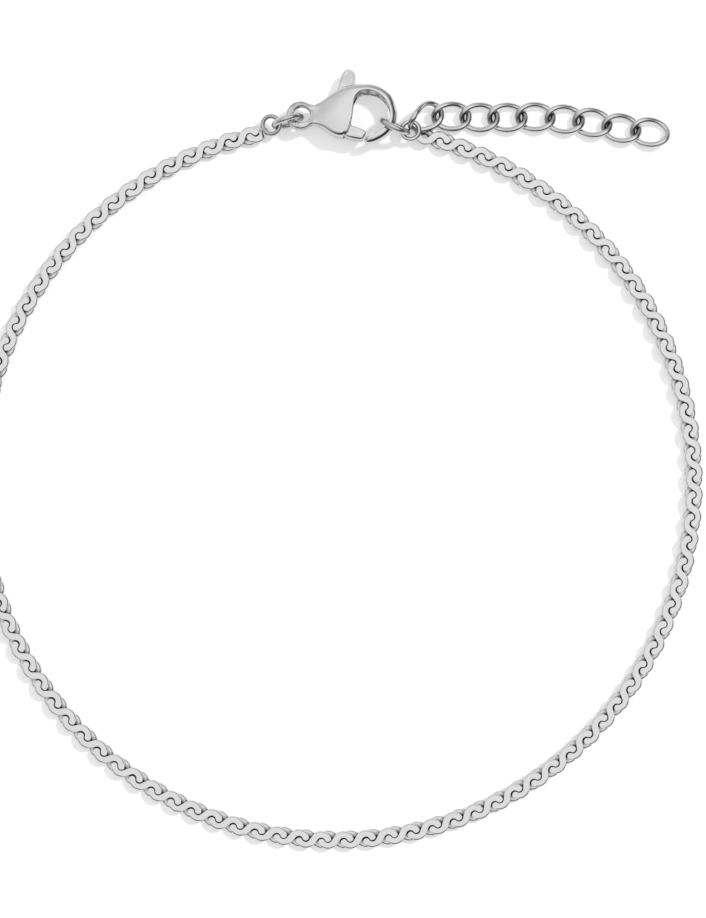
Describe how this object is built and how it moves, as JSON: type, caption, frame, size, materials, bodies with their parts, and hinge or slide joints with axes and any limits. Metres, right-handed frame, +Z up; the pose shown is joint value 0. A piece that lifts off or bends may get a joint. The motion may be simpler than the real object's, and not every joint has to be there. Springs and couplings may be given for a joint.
{
  "type": "chain anklet",
  "caption": "Slim polished steel chain anklet of flat S-shaped links, closed by a lobster clasp on jump rings, with a short extender of oval curb links.",
  "frame": {"origin": "centre of the bounding box at the table the closed anklet lies on", "axes": "+Z up from the table, +Y from the middle of the loop towards the clasp, +X along the clasp towards the free end of the extender"},
  "size_m": [0.0732, 0.0777, 0.0033],
  "materials": {
    "chain_steel": "polished stainless steel with flat, bright link faces",
    "ring_steel": "polished stainless steel wire",
    "clasp_steel": "polished stainless steel, cast and tumbled",
    "extender_steel": "polished stainless steel wire"
  },
  "bodies": {
    "anklet": {"s_link_chain": "chain_steel", "chain_end_clasp_side": "chain_steel", "chain_end_extender_side": "chain_steel", "jump_ring_clasp": "ring_steel", "jump_ring_catch": "ring_steel", "clasp_body": "clasp_steel", "lever_pin": "clasp_steel", "extender_link_1": "extender_steel", "extender_link_2": "extender_steel", "extender_link_3": "extender_steel", "extender_link_4": "extender_steel", "extender_link_5": "extender_steel", "extender_link_6": "extender_steel", "extender_link_7": "extender_steel", "extender_link_8": "extender_steel", "extender_link_9": "extender_steel"},
    "lever": {"clasp_lever": "clasp_steel"}
  },
  "joints": [
    {"name": "lever_hinge", "type": "hinge", "parent": "anklet", "child": "lever", "pos_m": [0.00076, 0.03527, 0.00141], "axis": [0, 0.1392, 0.9903], "range_deg": [0, 25], "stiffness_Nm_per_rad": 0.004, "springref_deg": -5.73}
  ]
}
